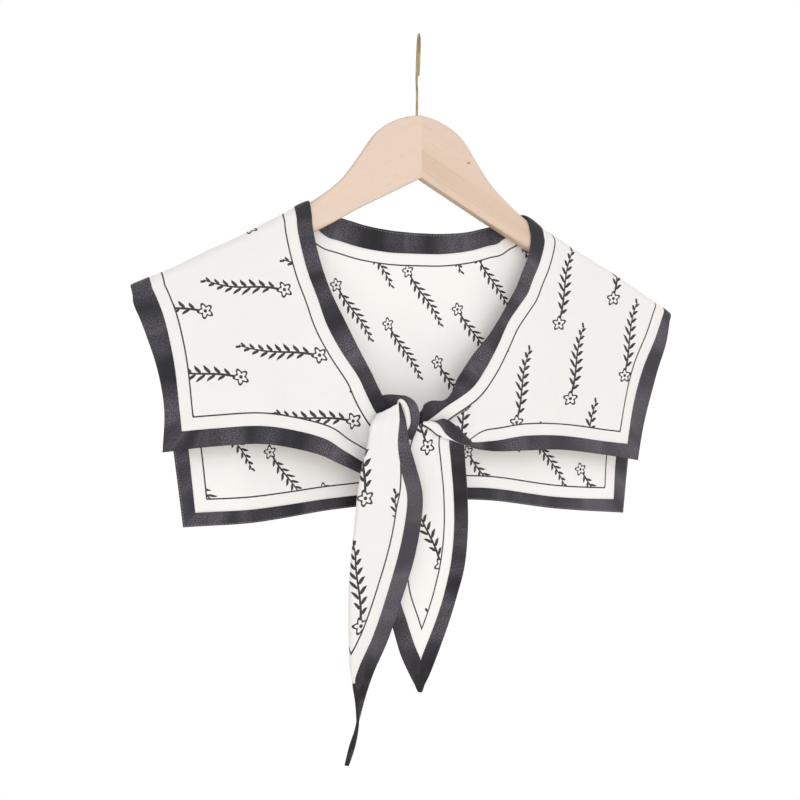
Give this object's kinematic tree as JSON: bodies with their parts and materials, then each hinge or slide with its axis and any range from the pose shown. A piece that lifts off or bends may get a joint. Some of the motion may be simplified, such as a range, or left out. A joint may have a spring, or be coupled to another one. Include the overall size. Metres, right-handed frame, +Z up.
{
  "type": "detachable collar on a hanger",
  "caption": "Satin shawl collar with contrast bands and two tie ends in a loose half knot, hung over a plain wooden hanger with a wire hook.",
  "frame": {"origin": "inside top of the hook's bend, where a rail holds the hanger", "axes": "+Z up, +X to the right as seen from the front, +Y to the back of the collar"},
  "size_m": [0.4461, 0.0531, 0.5481],
  "materials": {
    "ivory_satin": "satin, printed",
    "black_satin": "satin",
    "beech": "matt varnish",
    "hook_metal": "bright, slightly dulled"
  },
  "bodies": {
    "root": {"collar_cloth": "ivory_satin", "neck_border": "black_satin", "hem_border": "black_satin", "tie_end_right": "ivory_satin", "tie_end_right_border": "black_satin", "tie_end_left": "ivory_satin", "tie_end_left_border": "black_satin", "knot_wrap": "ivory_satin", "knot_wrap_border": "black_satin", "hanger_arm_left": "beech", "hanger_arm_right": "beech", "hanger_hook": "hook_metal"}
  },
  "joints": []
}
